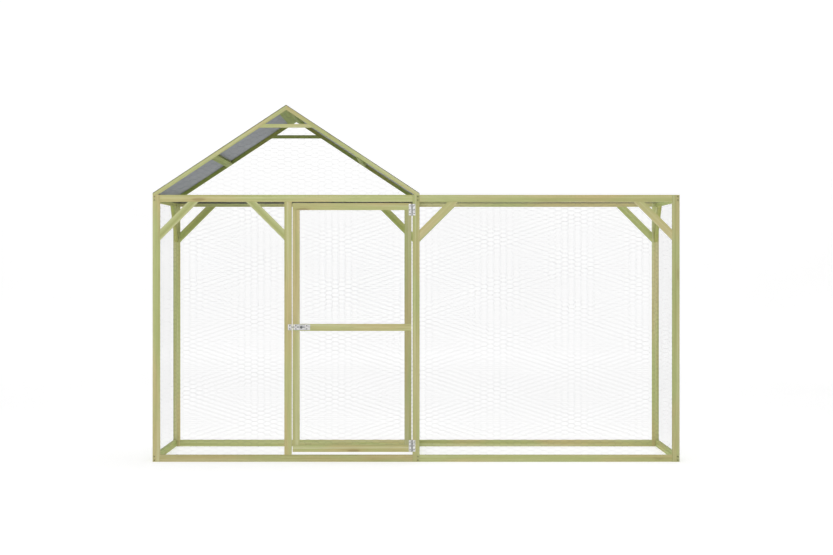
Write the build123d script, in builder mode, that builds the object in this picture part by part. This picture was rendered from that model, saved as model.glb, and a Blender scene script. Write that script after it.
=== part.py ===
from build123d import *
import os
from math import atan2, cos, sin, sqrt, tan

# A walk-in poultry run of flat battens and wire netting: a gabled coop bay
# with a door on the left, and a flat-topped run on the right.
# Millimetres. +X to the right, +Y to the back, +Z up, ground at Z = 0.

# Overall frame
frame_width = 3000
frame_depth = 980
eaves_height = 1520
panel = 20  # thickness of every wall, gable and door frame
timber = 42  # corner posts, door post and braces, across the face
slim = 40  # middle posts and door stiles, across the face
rail_height = 40
edge_ease = 2  # planed long edges

# Door bay, measured from the centre line
middle_left = -20  # left face of the middle posts
door_post_left = -750
door_left = -703
door_right = -26
door_bottom = 56
door_top = 1473
door_mid_rail = 745  # underside of the door's middle rail

# Corner braces at 45 degrees
brace_leg = 218  # from the corner to the brace's far edge, along post and rail
side_brace_inset = 9  # from the outer face of the side rails

# Roof
ridge_height = 2033
eave_height = 1530  # top of the sheet at the eaves
sheet_thick = 3
rafter_depth = 21  # square to the slope
tie_bottom = 1903
tie_height = 20
ridge_purlin_width = 62
mid_purlin_width = 40
mid_purlin = 506  # down the slope from the apex to its middle

# Netting, drawn as thin plates in the middle of the frame's thickness
net_thick = 0.8

# Butt hinges
hinge_middles = (91, 1435)  # above the ground
hinge_height = 66
leaf_reach = 18.5  # from the pin's axis
leaf_start = 4
leaf_thick = 1.5
knuckle_radius = 3.5
knuckle_gap = 0.4
knuckles = 5
pin_radius = 1.8
pin_clearance = 0.06
pin_cap_radius = 2.8
pin_cap_height = 1.4

# Barrel bolt
bolt_height = 766  # middle of the rod above the ground
plate_left = -698
plate_right = -603
plate_half = 16.5
rod_radius = 3
rod_stand = 7  # rod axis in front of the door's face
rod_left = -707
rod_right = -604
rod_clearance = 0.06
rod_bevel = 0.8
guide_half = 4.6
guides = ((-696, -678), (-630, -606))
keeper_left = -729
keeper_right = -709
keeper_inner = 4.6
keeper_outer = 5.8
keeper_bend = 1.3  # outside corner radius
handle_x = -652
handle_width = 10
collar_radius = 5.2
stud_radius = 2.2
stud_start = 4.4  # from the rod's axis
knob_start = 11
knob_end = 19
knob_radius = 8
knob_round = 2.5

# Screws
long_head = 4
long_shank = 2
long_length = 62
long_sink = 1.2  # frame screw heads sit this far below the face
sink_radius = 4.3
screw_rise = 10  # each pair of frame screws, up and down from the rail's middle
short_head = 3.1
short_shank = 1.6
short_length = 15
short_dome = 0.4
short_hole = 1.75
short_sink = 3.25  # countersink radius in the plates
slot_width = 0.9
slot_depth = 1.1
slot_span = 1.2  # against the head's radius
hinge_screw_reach = 11.5
hinge_screw_rise = 22
bolt_screw_rise = 9.3
bolt_screws = (-684, -622.5)

# Places worked out from the sizes above
front = -(frame_depth - rod_stand - knob_end) / 2  # the frame's front face
back = front + frame_depth
front_in = front + panel
back_in = back - panel
left = -frame_width / 2
right = frame_width / 2
left_in = left + timber
right_in = right - timber
middle_right = middle_left + slim
door_post_right = door_post_left + timber
top_rail = eaves_height - rail_height  # underside of the top rails
brace_cut = brace_leg - timber * sqrt(2)
mid_rail_top = door_mid_rail + rail_height
hinge_x = (door_right + middle_left) / 2
hinge_y = front - knuckle_radius
rod_y = front - rod_stand
ridge_x = (left + middle_right) / 2
half_span = ridge_x - left
pitch = atan2(ridge_height - eave_height, half_span)
rafter_drop = sheet_thick + rafter_depth
tie_top = tie_bottom + tie_height

across_front = Plane.XZ.offset(-front_in)  # extruding brings it to the front face
across_back = Plane.XZ.offset(-back)
across_left = Plane.YZ.offset(left)
across_right = Plane.YZ.offset(right - panel)
side_brace_planes = (
    Plane.YZ.offset(left + side_brace_inset),
    Plane.YZ.offset(right - panel - side_brace_inset),
)

os.makedirs("parts", exist_ok=True)


def save(piece, name):
    piece.part.label = name
    export_step(piece.part, f"parts/{name}.step")


# ---- Timbers ----


def squared(x, y, z, along):
    """A planed batten between two limits on each axis, its long edges eased."""
    with BuildPart() as piece:
        with Locations((sum(x) / 2, sum(y) / 2, sum(z) / 2)):
            Box(x[1] - x[0], y[1] - y[0], z[1] - z[0])
        fillet(piece.edges().filter_by(along), edge_ease)
    return piece


def drive(x, y, z):
    """Where a screw's head lies: it faces -Y on the front and +Y on the back."""
    return Location((x, y, z), (90 if y < 0 else -90, 0, 0))


def screw_pairs(x, face):
    """Four screws on a post face, into the ends of its bottom and top side rails."""
    middles = (rail_height / 2, eaves_height - rail_height / 2)
    return [
        drive(x, face, middle + rise)
        for middle in middles
        for rise in (-screw_rise, screw_rise)
    ]


def screwed_post(x, y, screws):
    """A full-height post with a shallow sink for each screw head."""
    with BuildPart() as piece:
        with Locations((sum(x) / 2, sum(y) / 2, eaves_height / 2)):
            Box(x[1] - x[0], y[1] - y[0], eaves_height)
        fillet(piece.edges().filter_by(Axis.Z), edge_ease)
        with Locations(*screws):
            Hole(sink_radius, depth=long_sink)
    return piece


front_y = (front, front_in)
back_y = (back_in, back)
between_y = (front_in, back_in)
left_x = (left, left_in)
middle_x = (middle_left, middle_right)
right_x = (right_in, right)
coop_x = (left_in, middle_left)
run_x = (middle_right, right_in)
bottom_z = (0, rail_height)
top_z = (top_rail, eaves_height)

post_columns = (("left", left_x), ("middle", middle_x), ("right", right_x))
side_columns = (
    ("left", (left, left + panel)),
    ("middle", (middle_right - panel, middle_right)),
    ("right", (right - panel, right)),
)
screw_middles = [sum(side_x) / 2 for _, side_x in side_columns]
frame_screw_places = []
for row, row_y, face in (("front", front_y, front), ("back", back_y, back)):
    for (column, column_x), screw_x in zip(post_columns, screw_middles):
        places = screw_pairs(screw_x, face)
        frame_screw_places += places
        save(screwed_post(column_x, row_y, places), f"{row}_{column}_post")
    for level, level_z in (("bottom", bottom_z), ("top", top_z)):
        save(squared(coop_x, row_y, level_z, Axis.X), f"{row}_coop_{level}_rail")
        save(squared(run_x, row_y, level_z, Axis.X), f"{row}_run_{level}_rail")

for column, side_x in side_columns:
    for level, level_z in (("bottom", bottom_z), ("top", top_z)):
        save(squared(side_x, between_y, level_z, Axis.Y), f"{column}_{level}_side_rail")

door_post_x = (door_post_left, door_post_right)
save(squared(door_post_x, front_y, (rail_height, top_rail), Axis.Z), "door_post")


# ---- Corner braces and netting ----


def brace_points(corner, side):
    """Outline of a brace under a top rail, from the post face at corner."""
    return (
        (corner, top_rail - brace_leg),
        (corner, top_rail - brace_cut),
        (corner + side * brace_cut, top_rail),
        (corner + side * brace_leg, top_rail),
    )


def braces(panels):
    """Braces as thick as the frame, cut to fit post and rail: one solid each."""
    with BuildPart() as piece:
        for plane, corner, side in panels:
            with BuildSketch(plane):
                with BuildLine():
                    Polyline(*brace_points(corner, side), close=True)
                make_face()
            extrude(amount=panel)
    return piece


def netting(plane, outlines, corners=()):
    """Netting in the middle of the frame's thickness, stopping at each brace."""
    with BuildPart() as piece:
        with BuildSketch(plane.offset(panel / 2)):
            for points in outlines:
                with BuildLine():
                    Polyline(*points, close=True)
                make_face()
            for corner, side in corners:
                with BuildLine():
                    Polyline(*brace_points(corner, side), close=True)
                make_face(mode=Mode.SUBTRACT)
        extrude(amount=net_thick / 2, both=True)
    return piece


def bay(u, v):
    """The four corners of a rectangular bay."""
    return ((u[0], v[0]), (u[1], v[0]), (u[1], v[1]), (u[0], v[1]))


wall_z = (rail_height, top_rail)
side_bay_x = (left_in, door_post_left)
coop_corners = ((left_in, 1), (middle_left, -1))
run_corners = ((middle_right, 1), (right_in, -1))
side_bay_corners = ((left_in, 1), (door_post_left, -1))
side_corners = ((back_in, -1),)

walls = (
    ("front_coop", across_front, side_bay_x, side_bay_corners),
    ("front_run", across_front, run_x, run_corners),
    ("back_coop", across_back, coop_x, coop_corners),
    ("back_run", across_back, run_x, run_corners),
)
for name, plane, wall_x, corners in walls:
    save(braces([(plane, *corner) for corner in corners]), f"{name}_braces")
    save(netting(plane, [bay(wall_x, wall_z)], corners), f"{name}_netting")

side_walls = (("left", across_left), ("right", across_right))
save(braces([(plane, back_in, -1) for plane in side_brace_planes]), "side_braces")
for name, plane in side_walls:
    save(netting(plane, [bay(between_y, wall_z)], side_corners), f"{name}_side_netting")

ceiling = Plane.XY.offset(eaves_height - rail_height / 2 - panel / 2)
coop_top_x = (left + panel, middle_right - panel)
run_top_x = (middle_right, right - panel)
save(netting(ceiling, [bay(coop_top_x, between_y)]), "coop_top_netting")
save(netting(ceiling, [bay(run_top_x, between_y)]), "run_top_netting")

# ---- Roof ----


def roof_height(reach, drop):
    """Height of the line that lies drop under the slope, at reach from the ridge."""
    return ridge_height - reach * tan(pitch) - drop / cos(pitch)


def roof_reach(height, drop):
    """How far from the ridge that line is at a given height."""
    return (ridge_height - drop / cos(pitch) - height) / tan(pitch)


def under_slope(side, along, drop):
    """A point measured along one slope from the apex, and square below its top."""
    return (
        ridge_x + side * (along * cos(pitch) - drop * sin(pitch)),
        ridge_height - along * sin(pitch) - drop * cos(pitch),
    )


def roof_member(points, plane, depth):
    """A roof timber of one outline across the roof, as deep as it runs to the back."""
    with BuildPart() as piece:
        with BuildSketch(plane):
            with BuildLine():
                Polyline(*points, close=True)
            make_face()
        extrude(amount=depth)
    return piece


def rafter_points(side):
    foot = roof_reach(eaves_height, rafter_drop)
    return (
        (ridge_x, roof_height(0, sheet_thick)),
        (ridge_x + side * half_span, roof_height(half_span, sheet_thick)),
        (ridge_x + side * half_span, eaves_height),
        (ridge_x + side * foot, eaves_height),
        (ridge_x, roof_height(0, rafter_drop)),
    )


def level_points(low, high):
    """The space between the rafters from one height to another."""
    low_reach = roof_reach(low, rafter_drop)
    high_reach = roof_reach(high, rafter_drop)
    return (
        (ridge_x - low_reach, low),
        (ridge_x + low_reach, low),
        (ridge_x + high_reach, high),
        (ridge_x - high_reach, high),
    )


def ridge_purlin_points(side):
    return (
        (ridge_x, roof_height(0, sheet_thick)),
        under_slope(side, ridge_purlin_width, sheet_thick),
        under_slope(side, ridge_purlin_width, rafter_drop),
        (ridge_x, roof_height(0, rafter_drop)),
    )


def mid_purlin_points(side):
    high = mid_purlin - mid_purlin_width / 2
    low = mid_purlin + mid_purlin_width / 2
    return (
        under_slope(side, high, sheet_thick),
        under_slope(side, low, sheet_thick),
        under_slope(side, low, rafter_drop),
        under_slope(side, high, rafter_drop),
    )


between = Plane.XZ.offset(-back_in)  # extruding brings it to the front rafters
purlin_run = back_in - front_in
roof_sides = (("left", -1), ("right", 1))
for row, plane in (("front", across_front), ("back", across_back)):
    for name, side in roof_sides:
        save(roof_member(rafter_points(side), plane, panel), f"{row}_{name}_rafter")
    save(roof_member(level_points(tie_bottom, tie_top), plane, panel), f"{row}_collar_tie")
for name, side in roof_sides:
    save(roof_member(ridge_purlin_points(side), between, purlin_run), f"{name}_ridge_purlin")

with BuildPart() as mid_purlins:
    for _, side in roof_sides:
        with BuildSketch(between):
            with BuildLine():
                Polyline(*mid_purlin_points(side), close=True)
            make_face()
        extrude(amount=purlin_run)
save(mid_purlins, "mid_purlins")

with BuildPart() as roof_sheet:
    with BuildSketch(Plane.XZ.offset(-back)):
        with BuildLine():
            Polyline(
                (left, roof_height(half_span, 0)),
                (ridge_x, ridge_height),
                (middle_right, roof_height(half_span, 0)),
                (middle_right, roof_height(half_span, sheet_thick)),
                (ridge_x, roof_height(0, sheet_thick)),
                (left, roof_height(half_span, sheet_thick)),
                close=True,
            )
        make_face()
    extrude(amount=frame_depth)
save(roof_sheet, "roof_sheet")

peak = level_points(tie_top, roof_height(0, rafter_drop))[:3]
gable_bays = (level_points(eaves_height, tie_bottom), peak)
save(netting(across_front, gable_bays), "gable_netting")

# ---- Door ----

door_x = (door_left, door_right)
inner_x = (door_left + slim, door_right - slim)
top_door_rail = door_top - rail_height
bottom_door_rail = door_bottom + rail_height
lap_size = (slim, panel / 2, rail_height)
lap_z = door_mid_rail + rail_height / 2


def door_stile(x):
    """An upright of the door, notched on its front half for the middle rail."""
    with BuildPart() as piece:
        height = top_door_rail - bottom_door_rail
        with Locations((sum(x) / 2, sum(front_y) / 2, (top_door_rail + bottom_door_rail) / 2)):
            Box(slim, panel, height)
        fillet(piece.edges().filter_by(Axis.Z), edge_ease)
        with Locations((sum(x) / 2, front + panel / 4, lap_z)):
            Box(*lap_size, mode=Mode.SUBTRACT)
    return piece


save(door_stile((door_left, inner_x[0])), "door_latch_stile")
save(door_stile((inner_x[1], door_right)), "door_hinge_stile")
save(squared(door_x, front_y, (door_bottom, bottom_door_rail), Axis.X), "door_bottom_rail")
save(squared(door_x, front_y, (top_door_rail, door_top), Axis.X), "door_top_rail")

with BuildPart() as door_middle_rail:
    with Locations((sum(door_x) / 2, sum(front_y) / 2, lap_z)):
        Box(door_right - door_left, panel, rail_height)
    fillet(door_middle_rail.edges().filter_by(Axis.X), edge_ease)
    with Locations(
        (door_left + slim / 2, front_in - panel / 4, lap_z),
        (door_right - slim / 2, front_in - panel / 4, lap_z),
    ):
        Box(*lap_size, mode=Mode.SUBTRACT)
save(door_middle_rail, "door_middle_rail")

door_bays = (
    bay(inner_x, (bottom_door_rail, door_mid_rail)),
    bay(inner_x, (mid_rail_top, top_door_rail)),
)
save(netting(across_front, door_bays), "door_netting")

# ---- Hinges ----


def sink_places(xs, zs):
    """Countersunk screw places on a plate that lies on the front face."""
    return [drive(x, front - leaf_thick, z) for x in xs for z in zs]


def leaf_screws(side):
    x = hinge_x + side * hinge_screw_reach
    rises = (-hinge_screw_rise, 0, hinge_screw_rise)
    return [place for m in hinge_middles for place in sink_places([x], [m + r for r in rises])]


def hinge_leaves(side, turns, bore):
    """The leaves of both hinges on one side, each with every other knuckle."""
    step = hinge_height / knuckles
    plate = (side * (leaf_start + leaf_reach) / 2, -leaf_thick / 2)
    bridge = (side * leaf_start / 2, -leaf_thick / 2)
    with BuildPart() as piece:
        for middle in hinge_middles:
            base = middle - hinge_height / 2
            with BuildSketch(Plane.XY.offset(base)):
                with Locations((hinge_x + plate[0], front + plate[1])):
                    Rectangle(leaf_reach - leaf_start, leaf_thick)
            extrude(amount=hinge_height)
            for turn in turns:
                with BuildSketch(Plane.XY.offset(base + turn * step + knuckle_gap / 2)):
                    with Locations((hinge_x, hinge_y)):
                        Circle(knuckle_radius)
                    with Locations((hinge_x + bridge[0], front + bridge[1])):
                        Rectangle(leaf_start, leaf_thick)
                    with Locations((hinge_x, hinge_y)):
                        Circle(bore, mode=Mode.SUBTRACT)
                extrude(amount=step - knuckle_gap)
        with Locations(*leaf_screws(side)):
            CounterSinkHole(short_hole, short_sink, depth=leaf_thick)
    return piece


save(hinge_leaves(1, (0, 2, 4), pin_radius), "post_hinge_leaves")
save(hinge_leaves(-1, (1, 3), pin_radius + pin_clearance), "door_hinge_leaves")

with BuildPart() as hinge_pins:
    for middle in hinge_middles:
        with Locations((hinge_x, hinge_y, middle)):
            Cylinder(pin_radius, hinge_height)
        cap_rise = (hinge_height + pin_cap_height) / 2
        with Locations((hinge_x, hinge_y, middle + cap_rise), (hinge_x, hinge_y, middle - cap_rise)):
            Cylinder(pin_cap_radius, pin_cap_height)
save(hinge_pins, "hinge_pins")

# ---- Barrel bolt ----

bolt_screw_heights = (bolt_height - bolt_screw_rise, bolt_height + bolt_screw_rise)
plate_screws = sink_places(bolt_screws, bolt_screw_heights)
keeper_screws = sink_places([(keeper_left + keeper_right) / 2], bolt_screw_heights)


def round_saddle(outer, inner):
    """Section of a guide that hugs the rod."""
    with BuildSketch(Plane.YZ) as section:
        with Locations((front - rod_stand / 2, bolt_height)):
            Rectangle(rod_stand, 2 * outer)
        with Locations((rod_y, bolt_height)):
            Circle(outer)
            Circle(inner, mode=Mode.SUBTRACT)
    return section.sketch


def square_saddle(outer, inner):
    """Section of a strap bent square over the rod, open down to its plate."""
    floor = front - leaf_thick
    reach = rod_stand - leaf_thick + inner
    with BuildSketch(Plane.YZ) as section:
        with Locations((front - (rod_stand + outer) / 2, bolt_height)):
            RectangleRounded(rod_stand + outer, 2 * outer, keeper_bend)
        with Locations((floor - reach / 2, bolt_height)):
            Rectangle(reach, 2 * inner, mode=Mode.SUBTRACT)
    return section.sketch


def strap_plate(x, section, saddles, screws):
    """A flat plate on the front face, with arches over the rod and screw holes."""
    with BuildPart() as piece:
        with BuildSketch(Plane.XZ.offset(-front)):
            with Locations((sum(x) / 2, bolt_height)):
                Rectangle(x[1] - x[0], 2 * plate_half)
        extrude(amount=leaf_thick)
        for start, end in saddles:
            extrude(section.moved(Location((start, 0, 0))), amount=end - start)
        with Locations(*screws):
            CounterSinkHole(short_hole, short_sink, depth=leaf_thick)
    return piece


keeper_x = (keeper_left, keeper_right)
plate_x = (plate_left, plate_right)
bore = rod_radius + rod_clearance
guide_section = round_saddle(guide_half, bore)
keeper_section = square_saddle(keeper_outer, keeper_inner)
save(strap_plate(plate_x, guide_section, guides, plate_screws), "bolt_plate")
save(strap_plate(keeper_x, keeper_section, [keeper_x], keeper_screws), "bolt_keeper")

with BuildPart() as bolt_rod:
    with Locations(Location(((rod_left + rod_right) / 2, rod_y, bolt_height), (0, 90, 0))):
        Cylinder(rod_radius, rod_right - rod_left)
    chamfer(bolt_rod.edges().group_by(Axis.X)[0], rod_bevel)
save(bolt_rod, "bolt_rod")


def outward(start, end):
    """A place on the handle's stalk, halfway between two distances from the rod."""
    return Location((handle_x, rod_y - (start + end) / 2, bolt_height), (90, 0, 0))


with BuildPart() as bolt_handle:
    with Locations(outward(knob_start, knob_end)):
        Cylinder(knob_radius, knob_end - knob_start)
    fillet(bolt_handle.edges().filter_by(GeomType.CIRCLE), knob_round)
    with Locations(outward(stud_start, knob_start)):
        Cylinder(stud_radius, knob_start - stud_start)
    with Locations(Location((handle_x, rod_y, bolt_height), (0, 90, 0))):
        Cylinder(collar_radius, handle_width)
        Cylinder(bore, handle_width, mode=Mode.SUBTRACT)
save(bolt_handle, "bolt_handle")

# ---- Screws ----


def wood_screw(head, shank, length, dome):
    """A countersunk screw with a cross slot: its head faces +Z, level with Z = 0."""
    with BuildPart() as piece:
        with BuildSketch(Plane.XZ):
            with BuildLine():
                Polyline(
                    (0, dome),
                    (head / 2, dome),
                    (head, 0),
                    (shank, shank - head),
                    (shank, 2 * shank - length),
                    (0, -length),
                    close=True,
                )
            make_face()
        revolve(axis=Axis.Z)
        with Locations((0, 0, dome)):
            Box(slot_span * head, slot_width, 2 * slot_depth, mode=Mode.SUBTRACT)
            Box(slot_width, slot_span * head, 2 * slot_depth, mode=Mode.SUBTRACT)
    return piece


def sunk(place):
    """The same place, moved into the timber by the depth of a sink."""
    return place * Location((0, 0, -long_sink))


long_screw = wood_screw(long_head, long_shank, long_length, 0)
short_screw = wood_screw(short_head, short_shank, short_length, short_dome)
long_places = [sunk(place) for place in frame_screw_places]
with BuildPart() as frame_screws:
    with Locations(*long_places):
        add(long_screw.part)
    with Locations(*leaf_screws(1), *keeper_screws):
        add(short_screw.part)
save(frame_screws, "frame_screws")

with BuildPart() as door_screws:
    with Locations(*leaf_screws(-1), *plate_screws):
        add(short_screw.part)
save(door_screws, "door_screws")
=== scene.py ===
import math
import random

import bpy
import numpy as np
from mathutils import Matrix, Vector


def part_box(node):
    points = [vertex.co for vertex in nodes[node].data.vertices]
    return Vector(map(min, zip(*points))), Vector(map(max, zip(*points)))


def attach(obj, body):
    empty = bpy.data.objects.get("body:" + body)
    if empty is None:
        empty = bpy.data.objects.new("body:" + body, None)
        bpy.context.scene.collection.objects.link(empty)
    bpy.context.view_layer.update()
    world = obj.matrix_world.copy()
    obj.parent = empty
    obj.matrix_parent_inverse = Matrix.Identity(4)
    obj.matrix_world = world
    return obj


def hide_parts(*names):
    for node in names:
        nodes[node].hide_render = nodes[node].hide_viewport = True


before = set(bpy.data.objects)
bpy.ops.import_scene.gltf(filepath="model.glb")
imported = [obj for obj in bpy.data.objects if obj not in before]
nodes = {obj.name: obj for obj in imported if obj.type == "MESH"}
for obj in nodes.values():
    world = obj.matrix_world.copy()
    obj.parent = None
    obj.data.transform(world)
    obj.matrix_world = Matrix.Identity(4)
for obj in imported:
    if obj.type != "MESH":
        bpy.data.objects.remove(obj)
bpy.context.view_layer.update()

# Places on the part, in metres
FRONT = -0.477
BACK = 0.503
PANEL = 0.020
EAVES = 1.520
RIDGE_X = -0.740
RIDGE = 2.033
HALF_SPAN = 0.760
SHEET_EDGE = 1.530  # height of the roof sheet's outer face at its lower edges
PITCH = math.atan2(RIDGE - SHEET_EDGE, HALF_SPAN)
SLOPE = HALF_SPAN / math.cos(PITCH)
SHEET_SPACE = 0.003  # from the rafters' tops to the sheet's outer face
RAFTER_DROP = 0.024  # from the sheet's outer face to the rafters' undersides
TIE = (1.903, 1.923)
SIDE_NET = 1.490
TOP_NET = 1.500
HINGE_X = -0.023
DOOR_MID_RAIL = (0.745, 0.785)
BRACE_LEG = 0.218

rng = np.random.default_rng(11)


# ---- Node helpers ----


def rgb(red, green, blue):
    """A screen colour from 0 to 255 a channel, as the linear value shaders take."""

    def linear(value):
        value = value / 255
        return value / 12.92 if value <= 0.04045 else ((value + 0.055) / 1.055) ** 2.4

    return (linear(red), linear(green), linear(blue), 1.0)


def put(tree, kind, inputs=(), **settings):
    """A node with its settings, its inputs given as values or as sockets to join."""
    node = tree.nodes.new(kind)
    for name, value in settings.items():
        setattr(node, name, value)
    for key, value in dict(inputs).items():
        if isinstance(value, bpy.types.NodeSocket):
            tree.links.new(value, node.inputs[key])
        else:
            node.inputs[key].default_value = value
    return node


def math_node(tree, operation, *values, clamp=False):
    return put(
        tree, "ShaderNodeMath", enumerate(values), operation=operation, use_clamp=clamp
    ).outputs[0]


def vector_node(tree, operation, *values, out=0):
    return put(
        tree, "ShaderNodeVectorMath", enumerate(values), operation=operation
    ).outputs[out]


def noise(tree, place, stretch, detail=2.0, roughness=0.5):
    """Noise from 0 to 1, its cells stretched along each axis, in cells a metre."""
    scaled = vector_node(tree, "MULTIPLY", place, stretch)
    return put(
        tree,
        "ShaderNodeTexNoise",
        {"Vector": scaled, "Scale": 1.0, "Detail": detail, "Roughness": roughness},
    ).outputs["Fac"]


def ramp(tree, value, low, high, to_low=0.0, to_high=1.0):
    """Value between two limits, brought smoothly onto two others."""
    return put(
        tree,
        "ShaderNodeMapRange",
        {0: value, 1: low, 2: high, 3: to_low, 4: to_high},
        interpolation_type="SMOOTHSTEP",
    ).outputs[0]


def mix(tree, share, first, second, blend="MIX"):
    return put(
        tree,
        "ShaderNodeMix",
        {0: share, 6: first, 7: second},
        data_type="RGBA",
        blend_type=blend,
    ).outputs[2]


def empty_material(name):
    material = bpy.data.materials.new(name)
    material.use_nodes = True
    material.node_tree.nodes.clear()
    return material, material.node_tree


def finish_surface(tree, colour, roughness, height, distance, metallic=0.0, specular=0.5):
    bump = put(tree, "ShaderNodeBump", {"Strength": 1.0, "Distance": distance, "Height": height})
    surface = put(
        tree,
        "ShaderNodeBsdfPrincipled",
        {
            "Base Color": colour,
            "Roughness": roughness,
            "Metallic": metallic,
            "Specular IOR Level": specular,
            "Normal": bump.outputs[0],
        },
    )
    put(tree, "ShaderNodeOutputMaterial", {"Surface": surface.outputs[0]})


def dress(piece, material):
    piece.data.materials.clear()
    piece.data.materials.append(material)


# ---- Timber ----


def timber_group():
    """Sawn pine with a green preservative. Place is in metres, its X along the grain."""
    group = bpy.data.node_groups.new("sawn_pine", "ShaderNodeTree")
    face = group.interface
    face.new_socket("Place", in_out="INPUT", socket_type="NodeSocketVector")
    face.new_socket("Warmth", in_out="INPUT", socket_type="NodeSocketFloat")
    face.new_socket("Shade", in_out="INPUT", socket_type="NodeSocketFloat")
    face.new_socket("Green", in_out="INPUT", socket_type="NodeSocketFloat")
    face.new_socket("End", in_out="INPUT", socket_type="NodeSocketFloat")
    face.new_socket("Colour", in_out="OUTPUT", socket_type="NodeSocketColor")
    face.new_socket("Roughness", in_out="OUTPUT", socket_type="NodeSocketFloat")
    face.new_socket("Height", in_out="OUTPUT", socket_type="NodeSocketFloat")
    given = put(group, "NodeGroupInput").outputs
    place = given["Place"]

    apart = put(group, "ShaderNodeSeparateXYZ", {0: place}).outputs
    across = put(group, "ShaderNodeCombineXYZ", {1: apart[1], 2: apart[2]}).outputs[0]
    radius = vector_node(group, "LENGTH", across, out=1)
    wander = math_node(group, "MULTIPLY", noise(group, place, (1.1, 16, 16)), 0.026)
    rings = math_node(group, "DIVIDE", math_node(group, "ADD", radius, wander), 0.0046)
    late = math_node(group, "POWER", math_node(group, "FRACT", rings), 2.5)

    streaks = noise(group, place, (0.8, 62, 62), 3, 0.6)
    fibres = noise(group, place, (16, 900, 900), 3, 0.6)
    patches = noise(group, place, (2.1, 11, 11), 2)
    stains = noise(group, place, (5, 30, 30), 4, 0.65)

    cells = put(
        group,
        "ShaderNodeTexVoronoi",
        {"Vector": vector_node(group, "MULTIPLY", place, (3.4, 17, 17)), "Scale": 1.0},
    )
    chance = put(group, "ShaderNodeSeparateColor", {0: cells.outputs["Color"]}).outputs[0]
    gate = ramp(group, chance, 0.74, 0.78)
    knot = math_node(
        group, "MULTIPLY", gate, ramp(group, cells.outputs["Distance"], 0.17, 0.09)
    )
    halo = math_node(
        group, "MULTIPLY", gate, ramp(group, cells.outputs["Distance"], 0.42, 0.12)
    )

    tan_share = math_node(
        group, "ADD", ramp(group, patches, 0.36, 0.66), given["Warmth"], clamp=True
    )
    colour = mix(group, tan_share, rgb(181, 188, 128), rgb(197, 184, 133))
    colour = mix(group, ramp(group, streaks, 0.46, 0.74, 0.0, 0.75), colour, rgb(208, 208, 166))
    colour = mix(group, ramp(group, streaks, 0.50, 0.28, 0.0, 0.55), colour, rgb(160, 161, 100))
    colour = mix(group, math_node(group, "MULTIPLY", late, 0.34), colour, rgb(158, 150, 92))
    colour = mix(group, ramp(group, stains, 0.60, 0.78, 0.0, 0.35), colour, rgb(150, 140, 98))
    colour = mix(group, math_node(group, "MULTIPLY", halo, 0.25), colour, rgb(168, 146, 94))
    colour = mix(group, math_node(group, "MULTIPLY", knot, 0.4), colour, rgb(124, 100, 62))
    grain = ramp(group, fibres, 0.3, 0.7, 0.90, 1.06)
    # Shade darkens a whole timber; for the timbers under the roof it is painted shade.
    shade = math_node(group, "MULTIPLY", grain, given["Shade"])
    shade_colour = put(group, "ShaderNodeCombineColor", {0: shade, 1: shade, 2: shade}).outputs[0]
    colour = mix(group, 1.0, colour, shade_colour, "MULTIPLY")
    # Green multiplies in an olive tint; for the timbers under the roof it is part of their painted
    # shade.
    colour = mix(group, given["Green"], colour, (0.80, 0.96, 0.42, 1.0), "MULTIPLY")
    end_colour = mix(group, late, rgb(168, 160, 108), rgb(122, 112, 68))
    end_grain = mix(group, ramp(group, fibres, 0.35, 0.65, 0.0, 0.3), end_colour, rgb(96, 90, 58))
    colour = mix(group, given["End"], colour, end_grain)

    rough = ramp(group, fibres, 0.3, 0.7, 0.58, 0.78)
    relief = math_node(group, "MULTIPLY", late, 0.35)
    relief = math_node(group, "ADD", relief, fibres)
    relief = math_node(group, "ADD", relief, math_node(group, "MULTIPLY", streaks, 0.8))
    put(group, "NodeGroupOutput", {"Colour": colour, "Roughness": rough, "Height": relief})
    return group


def timber_material(name, group, axes, centre, fold=None):
    """Pine for one timber: axes are its grain and its two cross directions.

    A pair of braces is one node, so it is folded over at the X midway between the two.
    """
    chance = random.Random(name)
    warmth, shade, green = timber_tone_and_shade(name)
    material, tree = empty_material(name)
    where = put(tree, "ShaderNodeTexCoord").outputs
    place = where["Object"]
    if fold is not None:
        shifted = vector_node(tree, "SUBTRACT", place, (fold, 0, 0))
        apart = put(tree, "ShaderNodeSeparateXYZ", {0: shifted}).outputs
        mirrored = math_node(tree, "ABSOLUTE", apart[0])
        place = put(
            tree, "ShaderNodeCombineXYZ", {0: mirrored, 1: apart[1], 2: apart[2]}
        ).outputs[0]
    place = vector_node(tree, "SUBTRACT", place, centre)
    turned = [vector_node(tree, "DOT_PRODUCT", place, axis, out=1) for axis in axes]
    place = put(tree, "ShaderNodeCombineXYZ", enumerate(turned)).outputs[0]
    pith = (chance.uniform(2, 90), chance.uniform(0.03, 0.08), chance.uniform(0.02, 0.09))
    place = vector_node(tree, "ADD", place, pith)
    end = 0.0
    if fold is None:
        facing = vector_node(tree, "DOT_PRODUCT", where["Normal"], axes[0], out=1)
        end = ramp(tree, math_node(tree, "ABSOLUTE", facing), 0.70, 0.80)
    wood = put(tree, "ShaderNodeGroup", node_tree=group)
    tree.links.new(place, wood.inputs["Place"])
    wood.inputs["Warmth"].default_value = warmth
    wood.inputs["Shade"].default_value = shade
    wood.inputs["Green"].default_value = green
    if fold is None:
        tree.links.new(end, wood.inputs["End"])
    finish_surface(
        tree, wood.outputs["Colour"], wood.outputs["Roughness"], wood.outputs["Height"], 0.0004,
        specular=0.25,
    )
    return material


X, Y, Z = (1, 0, 0), (0, 1, 0), (0, 0, 1)
ALONG_X = (X, Z, Y)
ALONG_Y = (Y, X, Z)
ALONG_Z = (Z, X, Y)


def slope_axes(side):
    """Grain, square to it, and across for a timber that climbs to the ridge."""
    run, rise = math.cos(PITCH), math.sin(PITCH)
    return ((-side * run, 0, rise), (side * rise, 0, run), Y)


HALF = math.sqrt(0.5)
BRACE_AXES = ((-HALF, 0, HALF), (HALF, 0, HALF), Y)
SIDE_BRACE_AXES = ((0, -HALF, HALF), (0, HALF, HALF), X)


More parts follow.
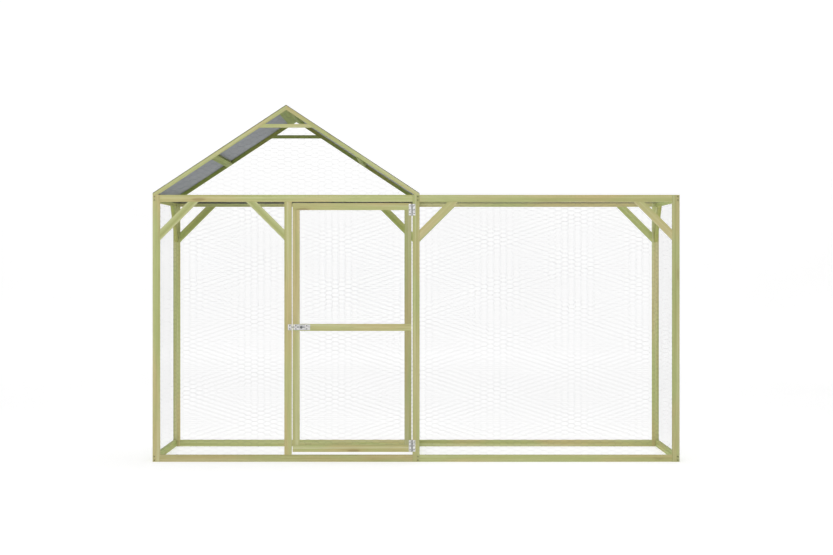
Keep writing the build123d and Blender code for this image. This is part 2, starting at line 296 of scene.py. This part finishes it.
def grain_axes(name):
    if name == "side_braces":
        return SIDE_BRACE_AXES
    if name.endswith("braces"):
        return BRACE_AXES
    if name.endswith("rafter"):
        return slope_axes(-1 if "left" in name else 1)
    if name.endswith(("post", "stile")):
        return ALONG_Z
    if name.endswith(("side_rail", "purlin", "purlins")):
        return ALONG_Y
    return ALONG_X


# How warm, how light and how green each batch of timber is. For the purlins, the back rafters and the
# back collar tie, all under the roof, the darker, greener tone is painted shade.
TONES_AND_SHADE = (
    # Painted shade: these timbers under the roof are made darker and greener to stand for the shade
    # there.
    ("purlin", (-0.35, 0.66, 0.8)),
    ("back_left_rafter", (-0.3, 0.68, 0.8)),
    ("back_right_rafter", (-0.1, 0.68, 0.8)),
    ("back_collar_tie", (-0.3, 0.72, 0.6)),
    ("back_coop_braces", (-0.2, 0.95, 0.5)),
    ("back_run_braces", (-0.2, 1.04, 0.2)),
    ("side_braces", (-0.2, 0.84, 0.6)),
    ("top_side_rail", (-0.2, 0.94, 0.5)),
    ("bottom_side_rail", (-0.2, 1.0, 0.4)),
    ("door_post", (0.35, 1.0, 0.0)),
    ("door_latch_stile", (0.3, 0.96, 0.0)),
    ("door_hinge_stile", (-0.1, 0.78, 0.0)),
    ("front_right_post", (-0.15, 0.92, 0.0)),
    ("front_middle_post", (-0.3, 0.95, 0.0)),
    ("front_left_post", (-0.1, 0.98, 0.0)),
    ("front_coop_top_rail", (-0.2, 1.05, 0.0)),
    ("front_coop_bottom_rail", (0.1, 0.92, 0.0)),
    ("front_coop_braces", (-0.1, 0.98, 0.0)),
    ("collar_tie", (-0.3, 1.0, 0.0)),
    ("back", (-0.1, 1.06, 0.0)),
)


def timber_tone_and_shade(name):
    """Tone of a timber, with painted shade for those under the roof: the first batch whose name is
    part of its own.
    """
    for batch, tone in TONES_AND_SHADE:
        if batch in name:
            return tone
    return (0.0, 1.0, 0.0)


TIMBERS = ("post", "rail", "stile", "braces", "rafter", "tie", "purlin", "purlins")


def dress_timbers():
    group = timber_group()
    for name, node in sorted(nodes.items()):
        if not name.endswith(TIMBERS):
            continue
        low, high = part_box(name)
        centre = (low + high) / 2
        fold = None
        if name.endswith("braces") and name != "side_braces":
            fold = centre.x
            centre = Vector(((high.x - low.x - BRACE_LEG) / 2, centre.y, centre.z))
        dress(node, timber_material(name, group, grain_axes(name), centre, fold))


# ---- Metal ----


def darker_barrel_streaks(tree, place, colour):
    """The same colour, darker in streaks within about 3 to 4 mm of the hinges' pin line."""
    apart = put(tree, "ShaderNodeSeparateXYZ", {0: place}).outputs
    aside = math_node(tree, "ABSOLUTE", math_node(tree, "SUBTRACT", apart[0], HINGE_X))
    streaks = noise(tree, place, (60, 60, 130), 2)
    share = math_node(
        tree, "MULTIPLY", ramp(tree, aside, 0.0038, 0.0028), ramp(tree, streaks, 0.35, 0.65, 0.5, 0.9)
    )
    return mix(tree, share, colour, rgb(122, 123, 121))


def zinc_material(name, tint, roughness, scale=1.0, extra=None):
    """Zinc plate with soft blooms, fine wear marks and a slightly uneven polish."""
    material, tree = empty_material(name)
    place = put(tree, "ShaderNodeTexCoord").outputs["Object"]
    bloom = noise(tree, place, (90 * scale, 90 * scale, 90 * scale), 3, 0.6)
    grit = noise(tree, place, (1500 * scale, 1500 * scale, 1500 * scale), 2)
    wear = noise(tree, place, (260 * scale, 2400 * scale, 2400 * scale), 2)
    dull = [channel * 0.62 for channel in tint[:3]] + [1.0]
    colour = mix(tree, ramp(tree, bloom, 0.35, 0.7), dull, tint)
    colour = mix(tree, ramp(tree, wear, 0.62, 0.72, 0.0, 0.4), colour, dull)
    if extra is not None:
        colour = extra(tree, place, colour)
    rough = math_node(
        tree, "ADD", ramp(tree, bloom, 0.3, 0.7, -0.08, 0.1), roughness, clamp=True
    )
    relief = math_node(tree, "ADD", grit, math_node(tree, "MULTIPLY", wear, 0.6))
    finish_surface(tree, colour, rough, relief, 0.00004, metallic=1.0)
    return material


def dress_fittings():
    plate = zinc_material("zinc_plate", rgb(242, 241, 240), 0.40)
    leaf = zinc_material("zinc_leaf", rgb(246, 246, 244), 0.44, extra=darker_barrel_streaks)
    rod = zinc_material("zinc_rod", rgb(196, 199, 202), 0.26)
    knob = zinc_material("zinc_knob", rgb(150, 154, 156), 0.30)
    # Screw heads: grey zinc, partly real colour and partly painted shade of the holes they sit in.
    screw = zinc_material("zinc_screw_with_painted_shade", rgb(104, 104, 100), 0.36, 2.0)
    for name in ("post_hinge_leaves", "door_hinge_leaves"):
        dress(nodes[name], leaf)
    for name in ("bolt_plate", "bolt_keeper"):
        dress(nodes[name], plate)
    for name in ("hinge_pins", "bolt_rod"):
        dress(nodes[name], rod)
    dress(nodes["bolt_handle"], knob)
    for name in ("frame_screws", "door_screws"):
        dress(nodes[name], screw)


# ---- Wire netting ----

COLUMN = 0.0384  # from one column of twists to the next
ROW = 0.0253  # from one twist to the next in a column
TWIST = 0.024  # length
WIRE = 0.00021  # radius
COOP_TOP_SAG = 0.006
RUN_TOP_SAG = 0.003
TURN_STEPS = 6
EDGE_HOLD = 0.008  # how far the wires run into the timber


def clip(start, end, edges):
    """The part of each line inside a convex outline, as two shares of its length."""
    low = np.zeros(len(start))
    high = np.ones(len(start))
    step = end - start
    for normal, limit in edges:
        rate = step @ normal
        room = limit - start @ normal
        with np.errstate(divide="ignore", invalid="ignore"):
            cross = room / rate
        high = np.where(rate > 1e-12, np.minimum(high, cross), high)
        low = np.where(rate < -1e-12, np.maximum(low, cross), low)
        high = np.where((abs(rate) <= 1e-12) & (room < 0), -1, high)
    return low, high


def outline_edges(points, grow):
    """A convex outline's sides as (outward normal, distance), moved out by grow."""
    points = np.array(points, float)
    middle = points.mean(0)
    edges = []
    for first, second in zip(points, np.roll(points, -1, 0)):
        along = (second - first) / np.linalg.norm(second - first)
        normal = np.array((along[1], -along[0]))
        if normal @ (first - middle) < 0:
            normal = -normal
        edges.append((normal, normal @ first + grow))
    return edges


def lattice(points):
    """Middles of the twists over an outline: every other column is half a row up."""
    points = np.array(points, float)
    low, high = points.min(0) - COLUMN, points.max(0) + COLUMN
    columns = np.arange(math.floor(low[0] / COLUMN), math.ceil(high[0] / COLUMN) + 1)
    rows = np.arange(math.floor(low[1] / ROW), math.ceil(high[1] / ROW) + 1)
    grid = np.stack(np.meshgrid(columns, rows, indexing="ij"), -1).reshape(-1, 2)
    odd = (grid[:, 0] % 2) * ROW / 2
    return np.column_stack((grid[:, 0] * COLUMN, grid[:, 1] * ROW + odd))


def ripple(size):
    """A smooth field over a panel, a few waves of random direction and phase."""
    waves = rng.normal(0, 9, (7, 2))
    phases = rng.uniform(0, 2 * math.pi, 7)

    def field(flat):
        return size * np.sin(flat @ waves.T + phases).sum(-1) / 2.5

    return field


def tube(rings, first_axis, second_axis, radius, sides):
    """Vertices and quads of tubes: rings is (tubes, places along, 3)."""
    turns = np.arange(sides) / sides * 2 * math.pi
    rim = radius * (
        np.cos(turns)[:, None] * first_axis[..., None, None, :]
        + np.sin(turns)[:, None] * second_axis[..., None, None, :]
    )
    vertices = rings[:, :, None, :] + rim
    count, steps = rings.shape[:2]
    index = np.arange(count * steps * sides).reshape(count, steps, sides)
    ahead = np.roll(index, -1, 2)
    quads = np.stack(
        (index[:, :-1], ahead[:, :-1], ahead[:, 1:], index[:, 1:]), -1
    ).reshape(-1, 4)
    return vertices.reshape(-1, 3), quads


def twist_tubes(middles, edges, bend, axes):
    """Each twist is two wires that turn once round each other."""
    half = np.array((TWIST / 2, 0))
    low, high = clip(middles - half, middles + half, edges)
    kept = high - low > 0.04
    middles, low, high = middles[kept], low[kept], high[kept]
    share = low[:, None] + (high - low)[:, None] * np.linspace(0, 1, TURN_STEPS + 1)
    angle = share * 2 * math.pi
    parts = []
    for side in (-1, 1):
        flat = middles[:, None, :] + np.stack(
            ((share - 0.5) * TWIST, side * WIRE * np.cos(angle)), -1
        )
        rings = bend(flat) + (side * WIRE * np.sin(angle))[..., None] * axes[2]
        parts.append(tube(rings, axes[1][None], axes[2][None], WIRE, 3))
    return parts


def strand_tubes(middles, edges, bend, axes):
    """The single wires that part from a twist's end, up and down to the next column."""
    parts = []
    for side in (-1, 1):
        start = middles + np.array((TWIST / 2, side * WIRE))
        end = middles + np.array((COLUMN - TWIST / 2, side * (ROW / 2 - WIRE)))
        low, high = clip(start, end, edges)
        kept = high - low > 0.04
        first = start[kept] + (end - start)[kept] * low[kept][:, None]
        last = start[kept] + (end - start)[kept] * high[kept][:, None]
        rings = np.stack((bend(first), bend(last)), 1)
        run = (end - start)[0] / np.linalg.norm((end - start)[0])
        square = -run[1] * axes[0] + run[0] * axes[1]
        parts.append(tube(rings, square[None], axes[2][None], WIRE, 4))
    return parts


def mesh_object(name, vertices, quads):
    mesh = bpy.data.meshes.new(name)
    mesh.vertices.add(len(vertices))
    mesh.vertices.foreach_set("co", np.ascontiguousarray(vertices, np.float32).ravel())
    mesh.loops.add(quads.size)
    mesh.loops.foreach_set("vertex_index", np.ascontiguousarray(quads, np.int32).ravel())
    mesh.polygons.add(len(quads))
    mesh.polygons.foreach_set("loop_start", np.arange(0, quads.size, 4, dtype=np.int32))
    mesh.update(calc_edges=True)
    mesh.validate()
    mesh.shade_smooth()
    piece = bpy.data.objects.new(name, mesh)
    bpy.context.scene.collection.objects.link(piece)
    return piece


def join_parts(parts):
    """One vertex list and one face list from several."""
    vertices, quads, start = [], [], 0
    for part_vertices, part_quads in parts:
        vertices.append(part_vertices)
        quads.append(part_quads + start)
        start += len(part_vertices)
    return np.concatenate(vertices), np.concatenate(quads)


def netting(name, outlines, along, up, out, place, sag=0.0):
    """Hexagonal netting over convex outlines given along the first two directions."""
    axes = [np.array(axis, float) for axis in (along, up, out)]
    bulge, drift_along, drift_up = ripple(0.0011), ripple(0.0007), ripple(0.0009)
    parts = []
    for points in outlines:
        low, high = np.min(points, 0), np.max(points, 0)

        def bend(flat, low=low, high=high):
            share = np.clip((flat - low) / (high - low), 0, 1)
            hang = 16 * (share * (1 - share)).prod(-1)
            height = place + hang * (bulge(flat) - sag)
            loose = np.minimum(1, 3 * hang)
            first = flat[..., 0] + loose * drift_along(flat)
            second = flat[..., 1] + loose * drift_up(flat)
            return (
                first[..., None] * axes[0]
                + second[..., None] * axes[1]
                + height[..., None] * axes[2]
            )

        edges = outline_edges(points, EDGE_HOLD)
        middles = lattice(points)
        parts += twist_tubes(middles, edges, bend, axes)
        parts += strand_tubes(middles, edges, bend, axes)
    return mesh_object(name, *join_parts(parts))


def wire_material():
    """Galvanised wire: mottled grey zinc with duller patches."""
    material, tree = empty_material("galvanised_wire")
    place = put(tree, "ShaderNodeTexCoord").outputs["Object"]
    mottle = noise(tree, place, (38, 38, 38), 3, 0.6)
    fine = noise(tree, place, (900, 900, 900), 2)
    colour = mix(tree, ramp(tree, mottle, 0.35, 0.68), rgb(66, 68, 71), rgb(96, 98, 102))
    colour = mix(tree, ramp(tree, fine, 0.55, 0.75, 0.0, 0.4), colour, rgb(50, 51, 54))
    rough = ramp(tree, mottle, 0.3, 0.7, 0.5, 0.34)
    finish_surface(tree, colour, rough, fine, 0.00002, metallic=0.9)
    return material


def rectangle(low_u, high_u, low_v, high_v):
    return ((low_u, low_v), (high_u, low_v), (high_u, high_v), (low_u, high_v))


def node_rectangle(name, first, second):
    """A netting node's extent along two axes."""
    low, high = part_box(name)
    return rectangle(low[first], high[first], low[second], high[second])


def under_rafters(height):
    """How far from the ridge the rafters' undersides are at a height."""
    return (RIDGE - RAFTER_DROP / math.cos(PITCH) - height) / math.tan(PITCH)


def gable_outlines():
    """The spaces under and over the collar tie."""
    tie_low, tie_top = TIE
    wide, narrow, top = under_rafters(EAVES), under_rafters(tie_low), under_rafters(tie_top)
    peak = RIDGE - RAFTER_DROP / math.cos(PITCH)
    return (
        (
            (RIDGE_X - wide, EAVES),
            (RIDGE_X + wide, EAVES),
            (RIDGE_X + narrow, tie_low),
            (RIDGE_X - narrow, tie_low),
        ),
        ((RIDGE_X - top, tie_top), (RIDGE_X + top, tie_top), (RIDGE_X, peak)),
    )


def place_netting():
    wire = wire_material()
    front_middle = FRONT + PANEL / 2
    back_middle = BACK - PANEL / 2
    made = []
    for name, depth in (
        ("front_coop", front_middle),
        ("front_run", front_middle),
        ("back_coop", back_middle),
        ("back_run", back_middle),
    ):
        outline = node_rectangle(f"{name}_netting", 0, 2)
        made.append((name, netting(f"{name}_wire", [outline], X, Z, Y, depth), "frame"))
    for name, place in (("left_side", -SIDE_NET), ("right_side", SIDE_NET)):
        outline = node_rectangle(f"{name}_netting", 1, 2)
        made.append((name, netting(f"{name}_wire", [outline], Y, Z, X, place), "frame"))
    coop_top = node_rectangle("coop_top_netting", 0, 1)
    net = netting("coop_top_wire", [coop_top], X, Y, Z, TOP_NET, COOP_TOP_SAG)
    made.append(("coop_top", net, "frame"))
    run_top = node_rectangle("run_top_netting", 1, 0)
    net = netting("run_top_wire", [run_top], Y, X, Z, TOP_NET, RUN_TOP_SAG)
    made.append(("run_top", net, "frame"))
    low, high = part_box("door_netting")
    bays = [
        rectangle(low.x, high.x, low.z, DOOR_MID_RAIL[0]),
        rectangle(low.x, high.x, DOOR_MID_RAIL[1], high.z),
    ]
    made.append(("door", netting("door_wire", bays, X, Z, Y, front_middle), "door"))
    gable = netting("gable_wire", gable_outlines(), X, Z, Y, front_middle)
    made.append(("gable", gable, "frame"))
    for name, net, body in made:
        dress(net, wire)
        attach(net, body)
        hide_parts(f"{name}_netting")


# ---- Roof sheet ----

SHEET = 0.0014
HEM = 0.028
MID_PURLIN = 0.506  # down the slope from the ridge
UPPER_SAG = 0.003
LOWER_SAG = 0.006
ACROSS_STEPS = 160
BACK_STEPS = 90


def sheet_sag(reach, back_share):
    """How far the sheet hangs under its supports, from the ridge down each slope."""
    upper = np.clip(reach / MID_PURLIN, 0, 1)
    lower = np.clip((reach - MID_PURLIN) / (SLOPE - MID_PURLIN), 0, 1)
    upper_span = UPPER_SAG * np.sin(math.pi * upper)
    lower_span = LOWER_SAG * np.sin(math.pi * lower * 0.9)
    span = np.where(reach < MID_PURLIN, upper_span, lower_span)
    between = np.clip((back_share - 0.045) / 0.91, 0, 1)
    return span * np.sin(math.pi * between) ** 0.8


def roof_sheet_points(lift, puckers):
    """One face of the sheet, lifted off the rafters by lift at each grid place."""
    along = np.linspace(-SLOPE, SLOPE, ACROSS_STEPS + 1)
    back_share = np.linspace(0, 1, BACK_STEPS + 1)
    along, back_share = np.meshgrid(along, back_share, indexing="ij")
    reach = abs(along)
    side = np.sign(along)
    depth = FRONT + back_share * (BACK - FRONT)
    held = np.clip(np.minimum(depth - FRONT, BACK - depth) / 0.09, 0, 1)
    rise = lift - sheet_sag(reach, back_share) + held * puckers(
        np.stack((along, depth), -1)
    )
    drop = SHEET_SPACE - rise
    ridge_ease = np.exp(-((reach / 0.012) ** 2))
    x = RIDGE_X + side * (reach * math.cos(PITCH) - drop * math.sin(PITCH) * (1 - ridge_ease))
    flat_top = RIDGE - reach * math.sin(PITCH) - drop * math.cos(PITCH)
    mitre = RIDGE - reach * math.sin(PITCH) - drop / math.cos(PITCH)
    z = flat_top * (1 - ridge_ease) + mitre * ridge_ease
    return np.stack((x, depth, z), -1)


def hem_lift():
    """The sheet is double within a hem of every edge."""
    along = np.linspace(-SLOPE, SLOPE, ACROSS_STEPS + 1)
    back = np.linspace(0, BACK - FRONT, BACK_STEPS + 1)
    along, back = np.meshgrid(along, back, indexing="ij")
    inside = np.minimum(np.minimum(back, BACK - FRONT - back), SLOPE - abs(along))
    return np.clip((HEM - inside) / 0.006 + 0.5, 0, 1)


def roof_sheet():
    """A woven sheet stretched over the rafters and purlins, hemmed all round."""
    puckers = ripple(0.0003)
    under = roof_sheet_points(0.0, puckers)
    over = roof_sheet_points(SHEET + hem_lift() * (SHEET_SPACE - 0.0001 - SHEET), puckers)
    rows, columns = under.shape[:2]
    index = np.arange(rows * columns).reshape(rows, columns)
    top = index + index.size
    quads = [
        np.stack((index[:-1, :-1], index[:-1, 1:], index[1:, 1:], index[1:, :-1]), -1),
        np.stack((top[:-1, :-1], top[1:, :-1], top[1:, 1:], top[:-1, 1:]), -1),
    ]
    rim = np.concatenate((index[:, 0], index[-1, 1:], index[-2::-1, -1], index[0, -2:0:-1]))
    ahead = np.roll(rim, -1)
    quads.append(np.stack((rim, ahead, ahead + index.size, rim + index.size), -1))
    faces = np.concatenate([part.reshape(-1, 4) for part in quads])
    vertices = np.concatenate((under.reshape(-1, 3), over.reshape(-1, 3)))
    return mesh_object("stretched_roof_sheet", vertices, faces)


def sheet_material():
    """Grey woven plastic sheet: flat tapes over and under, with faint creases."""
    material, tree = empty_material("woven_sheet")
    place = put(tree, "ShaderNodeTexCoord").outputs["Object"]
    apart = put(tree, "ShaderNodeSeparateXYZ", {0: place}).outputs
    slant = 2 * math.pi / 0.0032
    warp = math_node(tree, "SINE", math_node(tree, "MULTIPLY", apart[1], slant))
    weft_place = math_node(tree, "MULTIPLY", apart[0], slant / math.cos(PITCH))
    weft = math_node(tree, "SINE", weft_place)
    weave = math_node(tree, "MULTIPLY", warp, weft)
    cloud = noise(tree, place, (5, 5, 5), 4, 0.6)
    crease = noise(tree, place, (9, 2.5, 9), 3, 0.7)
    dust = noise(tree, place, (160, 160, 160), 3, 0.6)
    colour = mix(tree, ramp(tree, cloud, 0.3, 0.7), rgb(120, 124, 130), rgb(146, 150, 156))
    colour = mix(tree, ramp(tree, weave, -0.9, 0.9, 0.0, 0.3), colour, rgb(104, 108, 114))
    colour = mix(tree, ramp(tree, dust, 0.55, 0.8, 0.0, 0.35), colour, rgb(168, 170, 170))
    # The sheet is near black within about 5 mm of its front and back edges.
    middle, edge = (FRONT + BACK) / 2, (BACK - FRONT) / 2 - 0.005
    from_middle = math_node(tree, "ABSOLUTE", math_node(tree, "SUBTRACT", apart[1], middle))
    dark_edge_band = ramp(tree, from_middle, edge - 0.0005, edge + 0.0005)
    colour = mix(tree, dark_edge_band, colour, rgb(30, 32, 29))
    rough = ramp(tree, cloud, 0.3, 0.7, 0.5, 0.68)
    relief = math_node(tree, "MULTIPLY", weave, 0.22)
    relief = math_node(tree, "ADD", relief, math_node(tree, "MULTIPLY", crease, 2.2))
    finish_surface(tree, colour, rough, relief, 0.0004, specular=0.35)
    return material


def staple_block(along, side, depth):
    """Corners of one flat staple crown lying square on a slope."""
    ridge_to = np.array((side * math.cos(PITCH), 0, -math.sin(PITCH)))
    out = np.array((side * math.sin(PITCH), 0, math.cos(PITCH)))
    top = np.array((RIDGE_X, depth, RIDGE))
    middle = top + ridge_to * along - out * 0.0009
    turn = rng.uniform(-0.5, 0.5)
    long = math.cos(turn) * ridge_to + math.sin(turn) * np.array(Y)
    wide = np.cross(out, long)
    corners = [
        middle + a * 0.005 * long + b * 0.0006 * wide + c * 0.0007 * out
        for c in (-1, 1)
        for a, b in ((-1, -1), (1, -1), (1, 1), (-1, 1))
    ]
    return np.array(corners)


def roof_staples():
    """Staples that hold the sheet to the rafters, the purlins and the eaves."""
    faces = np.array(
        ((0, 3, 2, 1), (4, 5, 6, 7), (0, 1, 5, 4), (1, 2, 6, 5), (2, 3, 7, 6), (3, 0, 4, 7))
    )
    places = []
    for side in (-1, 1):
        for depth in (FRONT + 0.012, BACK - 0.012):
            places += [(along, side, depth) for along in np.arange(0.04, SLOPE, 0.105)]
        for depth in np.arange(FRONT + 0.1, BACK - 0.05, 0.115):
            places.append((0.022, side, depth))
    parts = [(staple_block(*place), faces) for place in places]
    return mesh_object("roof_staples", *join_parts(parts))


def cover_roof():
    sheet = roof_sheet()
    dress(sheet, sheet_material())
    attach(sheet, "frame")
    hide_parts("roof_sheet")
    staples = roof_staples()
    for polygon in staples.data.polygons:
        polygon.use_smooth = False
    dress(staples, zinc_material("zinc_staple", rgb(176, 178, 180), 0.4, 2.0))
    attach(staples, "frame")


# ---- Studio ----

CAMERA_DISTANCE = 11.22  # from the frame's front face
CAMERA_HEIGHT = 1.117


def backdrop_material():
    material, tree = empty_material("backdrop")
    place = put(tree, "ShaderNodeTexCoord").outputs["Object"]
    cloud = noise(tree, place, (0.6, 0.6, 0.6), 2)
    shade = ramp(tree, cloud, 0.2, 0.8, 0.60, 0.63)
    colour = put(tree, "ShaderNodeCombineColor", {0: shade, 1: shade, 2: shade}).outputs[0]
    surface = put(
        tree,
        "ShaderNodeBsdfPrincipled",
        {
            "Base Color": colour,
            "Roughness": 0.9,
            "Specular IOR Level": 0.0,
            "Emission Color": (1, 1, 1, 1),
            "Emission Strength": 0.562,
        },
    )
    put(tree, "ShaderNodeOutputMaterial", {"Surface": surface.outputs[0]})
    return material


def curved_wall(name, start, end):
    """Part of a round wall that curves up from the floor, farther out than the cameras."""
    radius, bend, height = 13.0, 4.0, 18.0
    turns = np.linspace(0, math.pi / 2, 24)
    profile = [(radius + bend * math.sin(t), bend - bend * math.cos(t)) for t in turns]
    profile.append((radius + bend, height))
    profile = np.array(profile)
    around = np.linspace(start, end, 60)
    x = np.outer(np.cos(around), profile[:, 0])
    y = np.outer(np.sin(around), profile[:, 0])
    z = np.broadcast_to(profile[:, 1], x.shape)
    index = np.arange(x.size).reshape(x.shape)
    quads = np.stack((index[:-1, :-1], index[:-1, 1:], index[1:, 1:], index[1:, :-1]), -1)
    return mesh_object(name, np.stack((x, y, z), -1).reshape(-1, 3), quads.reshape(-1, 4))


def backdrop():
    """A pale floor and a pale round wall. The half in front of the part doesn't light it."""
    reach = 22.0
    corners = [(x * reach, y * reach, -0.0004) for x, y in ((-1, -1), (1, -1), (1, 1), (-1, 1))]
    floor = mesh_object("floor", np.array(corners), np.array([(0, 1, 2, 3)]))
    behind = curved_wall("wall_behind", 0, math.pi)
    facing = curved_wall("wall_facing", math.pi, 2 * math.pi)
    facing.visible_diffuse = False
    facing.visible_glossy = False
    facing.visible_transmission = False
    facing.visible_shadow = False
    material = backdrop_material()
    for piece in (floor, behind, facing):
        dress(piece, material)


def area_light(name, place, aim, size, power):
    data = bpy.data.lights.new(name, "AREA")
    data.shape = "RECTANGLE"
    data.size, data.size_y = size
    data.energy = power
    light = bpy.data.objects.new(name, data)
    light.location = place
    light.rotation_euler = (Vector(aim) - Vector(place)).to_track_quat("-Z", "Y").to_euler()
    bpy.context.scene.collection.objects.link(light)


def studio():
    world = bpy.data.worlds.new("studio")
    world.use_nodes = True
    world.node_tree.nodes["Background"].inputs[0].default_value = (1, 1, 1, 1)
    world.node_tree.nodes["Background"].inputs[1].default_value = 0.45
    bpy.context.scene.world = world
    bpy.context.scene.view_settings.view_transform = "Standard"
    area_light("key", (-2.2, -5.6, 3.4), (0, -0.3, 0.9), (4.0, 3.0), 95)
    area_light("fill", (3.2, -5.4, 1.8), (0.4, -0.3, 0.9), (3.0, 3.0), 30)
    area_light("top", (0.3, 1.2, 5.4), (0, 0, 1.0), (4.0, 3.0), 40)


def camera():
    data = bpy.data.cameras.new("camera")
    data.lens = 85.2
    data.sensor_width = 36
    data.shift_x = 0.0005
    data.shift_y = -0.0143
    data.clip_end = 100
    holder = bpy.data.objects.new("camera", data)
    holder.location = (0, FRONT - CAMERA_DISTANCE, CAMERA_HEIGHT)
    holder.rotation_euler = (math.pi / 2, 0, 0)
    bpy.context.scene.collection.objects.link(holder)
    bpy.context.scene.camera = holder


dress_timbers()
dress_fittings()
place_netting()
cover_roof()
backdrop()
studio()
camera()
